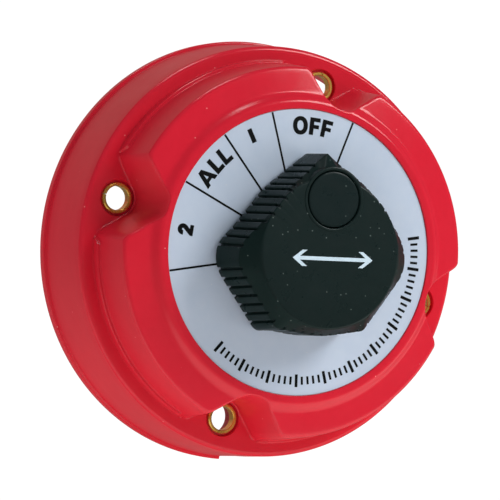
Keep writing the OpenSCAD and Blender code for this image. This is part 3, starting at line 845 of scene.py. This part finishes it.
def build_knob_arrow():
    """plain two-way arrow on the knob's front face"""
    half_length, half_height, half_shaft = 12.9, 2.35, 0.55
    barb_width = 1.55
    barb_x = half_length - 3.1
    shaft_x = half_length - barb_width - 0.75
    lower = [(-barb_x, -half_height), (-barb_x + barb_width, -half_height),
             (-shaft_x, -half_shaft), (shaft_x, -half_shaft),
             (barb_x - barb_width, -half_height), (barb_x, -half_height)]
    upper = [(x, -y) for x, y in reversed(lower)]
    outline = [(-half_length, 0)] + lower + [(half_length, 0)] + upper
    return flat_piece("knob_arrow", [outline], 67.97, 68.09,
                      place=clock_placer(POINTER_CLOCK, 0.3, -1.7))


# ------------------------------------------------------------------ shader nodes
def add_node(tree, kind, inputs=None, **settings):
    """new shader node; an input given as a socket is linked, any other is a value"""
    made = tree.nodes.new("ShaderNode" + kind)
    for key, value in settings.items():
        setattr(made, key, value)
    for key, value in (inputs or {}).items():
        if isinstance(value, bpy.types.NodeSocket):
            tree.links.new(value, made.inputs[key])
        else:
            made.inputs[key].default_value = value
    return made


def map_range(tree, value, source, target, **settings):
    inputs = {"Value": value, "From Min": source[0], "From Max": source[1],
              "To Min": target[0], "To Max": target[1]}
    return add_node(tree, "MapRange", inputs, **settings).outputs["Result"]


def math_node(tree, operation, *values):
    return add_node(tree, "Math", dict(enumerate(values)), operation=operation).outputs[0]


def noise(tree, vector, scale, detail, distortion=0.0):
    inputs = {"Scale": scale, "Detail": detail, "Distortion": distortion, "Vector": vector}
    return add_node(tree, "TexNoise", inputs).outputs["Fac"]


def front_facing(tree):
    """1 on faces turned to the front or back, 0 on faces square to them"""
    geometry = add_node(tree, "NewGeometry")
    normal = add_node(tree, "SeparateXYZ", {0: geometry.outputs["Normal"]})
    return math_node(tree, "ABSOLUTE", normal.outputs["Y"])


def linear(srgb):
    """8-bit sRGB to linear colour"""
    parts = [v / 255.0 for v in srgb]
    return tuple(v / 12.92 if v <= 0.04045 else ((v + 0.055) / 1.055) ** 2.4 for v in parts)


# ------------------------------------------------------------------ materials
def varied_colour(tree, vector, grain_vector, srgb, light_srgb, vary, scale):
    """broad light and dark patches with fine grain over them"""
    colour = Vector(linear(srgb))
    dark = colour * (1 - vary)
    light = Vector(linear(light_srgb) if light_srgb else [min(1, v * (1 + vary)) for v in colour])
    patches = noise(tree, vector, scale, detail=5, distortion=0.4)
    ramp = add_node(tree, "ValToRGB", {"Fac": patches})
    for element, position, shade in zip(ramp.color_ramp.elements, (0.30, 0.72), (dark, light)):
        element.position = position
        element.color = (*shade, 1)
    grain = noise(tree, grain_vector, scale * 11, detail=3)
    mix = add_node(tree, "Mix", data_type="RGBA", blend_type="OVERLAY", inputs={
        "Factor": min(0.35, 0.05 + vary), 6: ramp.outputs["Color"], 7: grain})
    return mix.outputs[2]


def speckled(tree, vector, colour, scale, size, srgb, strength, rarity):
    """small specks in those cells whose random value is above the rarity"""
    cells = add_node(tree, "TexVoronoi", {"Scale": scale, "Randomness": 1.0, "Vector": vector})
    speck = map_range(tree, cells.outputs["Distance"], (size, size * 0.35), (0.0, strength))
    cell = add_node(tree, "SeparateColor", {"Color": cells.outputs["Color"]})
    chosen = math_node(tree, "GREATER_THAN", cell.outputs["Red"], rarity)
    amount = math_node(tree, "MULTIPLY", speck, chosen)
    mix = add_node(tree, "Mix", data_type="RGBA", inputs={
        "Factor": amount, 6: colour, 7: (*linear(srgb), 1.0)})
    return mix.outputs[2]


def material(name, srgb, rough, metal=0.0, vary=0.08, vary_scale=90, light_srgb=None,
             rough_vary=0.08, rough_scale=260, bump=0.04, bump_scale=900, streak=None,
             specks=None, spec=None, side_spec=None, wall_rough=None):
    """side_spec and wall_rough are specular level and roughness on faces square to the front"""
    made = bpy.data.materials.new(name)
    made.use_nodes = True
    tree = made.node_tree
    surface = tree.nodes["Principled BSDF"].inputs
    surface["Metallic"].default_value = metal
    surface["IOR"].default_value = 1.5
    if spec is not None:
        surface["Specular IOR Level"].default_value = spec
    if side_spec is not None:
        level = map_range(tree, front_facing(tree), (0.62, 0.97), (side_spec, spec))
        tree.links.new(level, surface["Specular IOR Level"])
    vector = grain_vector = add_node(tree, "TexCoord").outputs["Object"]
    if streak:
        mapping = add_node(tree, "Mapping", {"Scale": streak, "Vector": vector})
        grain_vector = mapping.outputs["Vector"]
    colour = varied_colour(tree, vector, grain_vector, srgb, light_srgb, vary, vary_scale)
    if specks:
        colour = speckled(tree, vector, colour, **specks)
    tree.links.new(colour, surface["Base Color"])
    patches = noise(tree, grain_vector, rough_scale, detail=4, distortion=0.2)
    roughness = map_range(tree, patches, (0.3, 0.7),
                          (max(0.02, rough - rough_vary), min(1.0, rough + rough_vary)))
    if wall_rough is not None:
        added = map_range(tree, front_facing(tree), (0.25, 0.60), (wall_rough - rough, 0.0))
        roughness = math_node(tree, "ADD", roughness, added)
    tree.links.new(roughness, surface["Roughness"])
    height = noise(tree, grain_vector, bump_scale, detail=6)
    bumps = add_node(tree, "Bump", {"Strength": bump, "Distance": 0.0002, "Height": height})
    tree.links.new(bumps.outputs["Normal"], surface["Normal"])
    return made


def moulded_black(srgb):
    """glossy speckled black, duller round the grip"""
    return dict(
        srgb=srgb, rough=0.30, vary=0.03, vary_scale=70, rough_vary=0.04, rough_scale=220,
        bump=0.03, bump_scale=1100, spec=0.26, side_spec=0.03,
        specks=dict(scale=640, size=0.16, srgb=(112, 126, 122), strength=0.8, rarity=0.80))


LOOKS = {
    "housing_red": dict(
        srgb=(216, 30, 50), rough=0.18, vary=0.03, vary_scale=40, rough_vary=0.03,
        rough_scale=120, bump=0.05, bump_scale=420, spec=0.36, wall_rough=0.36,
        specks=dict(scale=480, size=0.13, srgb=(244, 150, 150), strength=0.8, rarity=0.93)),
    "bushing_brass": dict(
        srgb=(232, 184, 76), light_srgb=(246, 210, 108), rough=0.30, metal=0.78, vary=0.10,
        vary_scale=260, rough_vary=0.1, bump=0.12, bump_scale=1500, streak=(1, 6, 1)),
    "dial_face": dict(
        srgb=(202, 216, 235), rough=0.40, metal=0.1, vary=0.03, vary_scale=28, rough_vary=0.06,
        rough_scale=500, bump=0.05, bump_scale=1600,
        specks=dict(scale=420, size=0.12, srgb=(226, 230, 238), strength=0.5, rarity=0.9)),
    "bearing_brass": dict(
        srgb=(206, 160, 78), rough=0.34, metal=1.0, vary=0.12, vary_scale=200, bump=0.1,
        bump_scale=1400),
    "acetal_cream": dict(srgb=(228, 222, 202), rough=0.42, vary=0.04, bump=0.05, bump_scale=700),
    "base_black": dict(
        srgb=(30, 30, 33), rough=0.48, vary=0.22, vary_scale=160, rough_vary=0.1, bump=0.16,
        bump_scale=1300),
    "seal_rubber": dict(srgb=(28, 28, 28), rough=0.72, vary=0.15, bump=0.2, bump_scale=1800),
    "screw_steel": dict(
        srgb=(186, 187, 190), rough=0.28, metal=1.0, vary=0.1, vary_scale=300, bump=0.08,
        bump_scale=2200),
    "contact_copper": dict(
        srgb=(196, 118, 78), rough=0.32, metal=1.0, vary=0.16, vary_scale=150, bump=0.12,
        bump_scale=900),
    "stud_tinned": dict(
        srgb=(198, 197, 190), rough=0.30, metal=1.0, vary=0.12, vary_scale=260, bump=0.1,
        bump_scale=1600),
    "washer_steel": dict(
        srgb=(184, 185, 188), rough=0.34, metal=1.0, vary=0.1, vary_scale=300, bump=0.12,
        bump_scale=1300, streak=(1, 1, 4)),
    "nut_steel": dict(
        srgb=(194, 194, 194), rough=0.30, metal=1.0, vary=0.1, vary_scale=220, bump=0.12,
        bump_scale=1100),
    "knob_black": moulded_black((22, 36, 35)),
    "plug_black": moulded_black((20, 34, 34)),
    "shaft_steel": dict(
        srgb=(186, 186, 190), rough=0.26, metal=1.0, vary=0.08, vary_scale=300, bump=0.08,
        bump_scale=2000, streak=(1, 8, 1)),
    "rotor_black": dict(
        srgb=(44, 44, 47), rough=0.45, vary=0.2, vary_scale=150, bump=0.12, bump_scale=1200),
    "spring_steel": dict(
        srgb=(176, 178, 182), rough=0.26, metal=1.0, vary=0.12, vary_scale=500, bump=0.06,
        bump_scale=2400),
    "ball_chrome": dict(
        srgb=(206, 207, 210), rough=0.12, metal=1.0, vary=0.05, vary_scale=600, rough_vary=0.04,
        bump=0.02, bump_scale=2600),
    "print_black": dict(
        srgb=(7, 9, 10), rough=0.5, spec=0.15, vary=0.25, vary_scale=400, bump=0.08,
        bump_scale=2500),
    "mark_pale": dict(
        srgb=(206, 228, 242), rough=0.4, vary=0.06, vary_scale=500, bump=0.08, bump_scale=2200),
}
MATERIALS = {name: material(name, **look) for name, look in LOOKS.items()}


# ------------------------------------------------------------------ pieces on the frame
def wear(ob, look):
    ob.data.materials.clear()
    ob.data.materials.append(MATERIALS[look])


def attach(ob, body, slot, look=None):
    """hand a piece to its body, in the slot's own material unless told otherwise"""
    wear(ob, look or slot)
    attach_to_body(ob, body)


def dress_frame():
    slots = {part["node"]: part["material_slot"] for part in frame["record"]["subparts"]}
    for node, ob in frame["nodes"].items():
        wear(ob, slots[node])


def build_switch():
    shell = build_housing()
    attach(shell, "switch_body", "housing_red")
    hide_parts("housing")
    knob = build_knob()
    attach(knob, "knob_assembly", "knob_black")
    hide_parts("knob")
    plug = build_plug()
    attach(plug, "knob_assembly", "plug_black")
    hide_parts("lock_plug")
    coil = build_coil()
    attach(coil, "knob_assembly", "spring_steel")
    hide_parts("contact_spring")
    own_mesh(coil)
    # (node, clock angle, height of the front end)
    for node, clock, front in (("common_stud", 180, 26.0), ("battery_1_stud", 90, 26.8),
                               ("battery_2_stud", 270, 26.8)):
        stud = build_stud(node + "_threaded", clock, front)
        attach(stud, "switch_body", "stud_tinned")
        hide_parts(node)
    for mark in build_dial_prints():
        attach(mark, "switch_body", "dial_face", look="print_black")
    attach(build_knob_arrow(), "knob_assembly", "knob_black", look="mark_pale")


# ------------------------------------------------------------------ studio, in metres
def glow(tree, direction, outer_cosine, inner_cosine, colour):
    """soft round patch of light in the world, fading between two cosines off its direction"""
    generated = tree.nodes["Texture Coordinate"].outputs["Generated"]
    toward = add_node(tree, "VectorMath", operation="DOT_PRODUCT", inputs={
        0: generated, 1: Vector(direction).normalized()})
    amount = map_range(tree, toward.outputs["Value"], (outer_cosine, inner_cosine), (0.0, 1.0),
                       interpolation_type="SMOOTHSTEP")
    return add_node(tree, "VectorMath", operation="SCALE", inputs={
        0: colour, "Scale": amount}).outputs["Vector"]


def build_world():
    """dim surroundings with two warm glows behind; the camera sees plain white"""
    world = bpy.data.worlds.new("studio")
    bpy.context.scene.world = world
    world.use_nodes = True
    tree = world.node_tree
    tree.nodes.clear()
    output = add_node(tree, "OutputWorld")
    add_node(tree, "TexCoord").name = "Texture Coordinate"
    ambient = dict(enumerate((0.125, 0.155, 0.175)))
    total = add_node(tree, "CombineXYZ", ambient).outputs["Vector"]
    glows = (
        dict(direction=(-0.10, 0.80, 0.60), outer_cosine=0.70, inner_cosine=0.985,
             colour=(0.46, 0.20, 0.14)),
        dict(direction=(0.1, 0.80, -0.60), outer_cosine=0.86, inner_cosine=0.99,
             colour=(0.16, 0.11, 0.05)))
    for values in glows:
        total = add_node(tree, "VectorMath", operation="ADD", inputs={
            0: total, 1: glow(tree, **values)}).outputs["Vector"]
    lighting = add_node(tree, "Background", {"Color": total, "Strength": 1.0})
    backdrop = add_node(tree, "Background", {"Color": (1, 1, 1, 1), "Strength": 1.05})
    rays = add_node(tree, "LightPath")
    mix = add_node(tree, "MixShader", {
        0: rays.outputs["Is Camera Ray"], 1: lighting.outputs[0], 2: backdrop.outputs[0]})
    tree.links.new(mix.outputs[0], output.inputs[0])


def area_light(name, location, size, watts, colour):
    """rectangular light aimed at the origin"""
    light = bpy.data.lights.new(name, "AREA")
    light.shape = "RECTANGLE"
    light.size, light.size_y = size
    light.energy = watts
    light.color = colour
    ob = new_object(name, light)
    ob.location = location
    ob.rotation_euler = (-Vector(location)).to_track_quat("-Z", "Y").to_euler()
    return ob


def build_lights():
    area_light("key", location=(0.730, -0.830, 0.690), size=(0.52, 0.52), watts=9.0,
               colour=(1.0, 0.995, 0.985))
    area_light("top", location=(-0.12, -0.10, 1.1), size=(0.5, 0.2), watts=2.6,
               colour=(0.97, 0.99, 1.0))
    left = area_light("left", location=(-1.3, 0.15, 0.25), size=(0.6, 0.8), watts=0.9,
                      colour=(1.0, 0.93, 0.86))
    left.visible_glossy = False


def floor_material():
    """pale floor: plain white to the camera, a banded glow in reflections"""
    made = bpy.data.materials.new("floor_pale")
    made.use_nodes = True
    tree = made.node_tree
    diffuse = tree.nodes["Principled BSDF"]
    texture = add_node(tree, "TexNoise", {"Scale": 6})
    ramp = add_node(tree, "ValToRGB", {"Fac": texture.outputs["Fac"]})
    for element, grey in zip(ramp.color_ramp.elements, (0.90, 0.94)):
        element.color = (grey, grey, grey, 1)
    tree.links.new(ramp.outputs["Color"], diffuse.inputs["Base Color"])
    diffuse.inputs["Roughness"].default_value = 0.8
    diffuse.inputs["Emission Color"].default_value = (1.0, 0.95, 0.88, 1)
    diffuse.inputs["Emission Strength"].default_value = 0.62
    seen = add_node(tree, "Emission", {"Strength": 1.05})
    rays = add_node(tree, "LightPath")
    # the reflected glow rises towards the front and dims again far in front
    coordinates = add_node(tree, "TexCoord")
    y = add_node(tree, "SeparateXYZ", {0: coordinates.outputs["Object"]}).outputs["Y"]
    rise = map_range(tree, y, (-0.01, -0.06), (0.20, 1.3), interpolation_type="SMOOTHSTEP")
    fall = map_range(tree, y, (-0.065, -0.115), (1.0, 0.07), interpolation_type="SMOOTHSTEP")
    reflected = add_node(tree, "Emission", {
        "Color": (0.93, 1.0, 0.94, 1), "Strength": math_node(tree, "MULTIPLY", rise, fall)})
    unseen = add_node(tree, "MixShader", {
        0: rays.outputs["Is Glossy Ray"], 1: diffuse.outputs[0], 2: reflected.outputs[0]})
    surface = add_node(tree, "MixShader", {
        0: rays.outputs["Is Camera Ray"], 1: unseen.outputs[0], 2: seen.outputs[0]})
    tree.links.new(surface.outputs[0], tree.nodes["Material Output"].inputs["Surface"])
    return made


def build_floor():
    half, level = 3000, -81                  # millimetres
    corners = [(-half, level, half), (half, level, half),
               (half, level, -half), (-half, level, -half)]
    floor = new_mesh("floor", corners, [(0, 1, 2, 3)])
    floor.data.materials.append(floor_material())


def build_camera():
    """long lens from the front left, almost level"""
    data = bpy.data.cameras.new("camera")
    data.lens = 204.67
    data.sensor_width = 36
    data.clip_start = 0.01
    camera = new_object("camera", data)
    azimuth, elevation = math.radians(-24.61), math.radians(0.66)
    backwards = Vector((math.sin(azimuth) * math.cos(elevation),
                        -math.cos(azimuth) * math.cos(elevation),
                        math.sin(elevation)))
    camera.location = (-0.3652, -0.8081, 0.0104)
    camera.rotation_euler = (-backwards).to_track_quat("-Z", "Y").to_euler()
    bpy.context.scene.camera = camera


dress_frame()
build_switch()
build_world()
build_lights()
build_floor()
build_camera()
bpy.context.scene.view_settings.view_transform = "Standard"
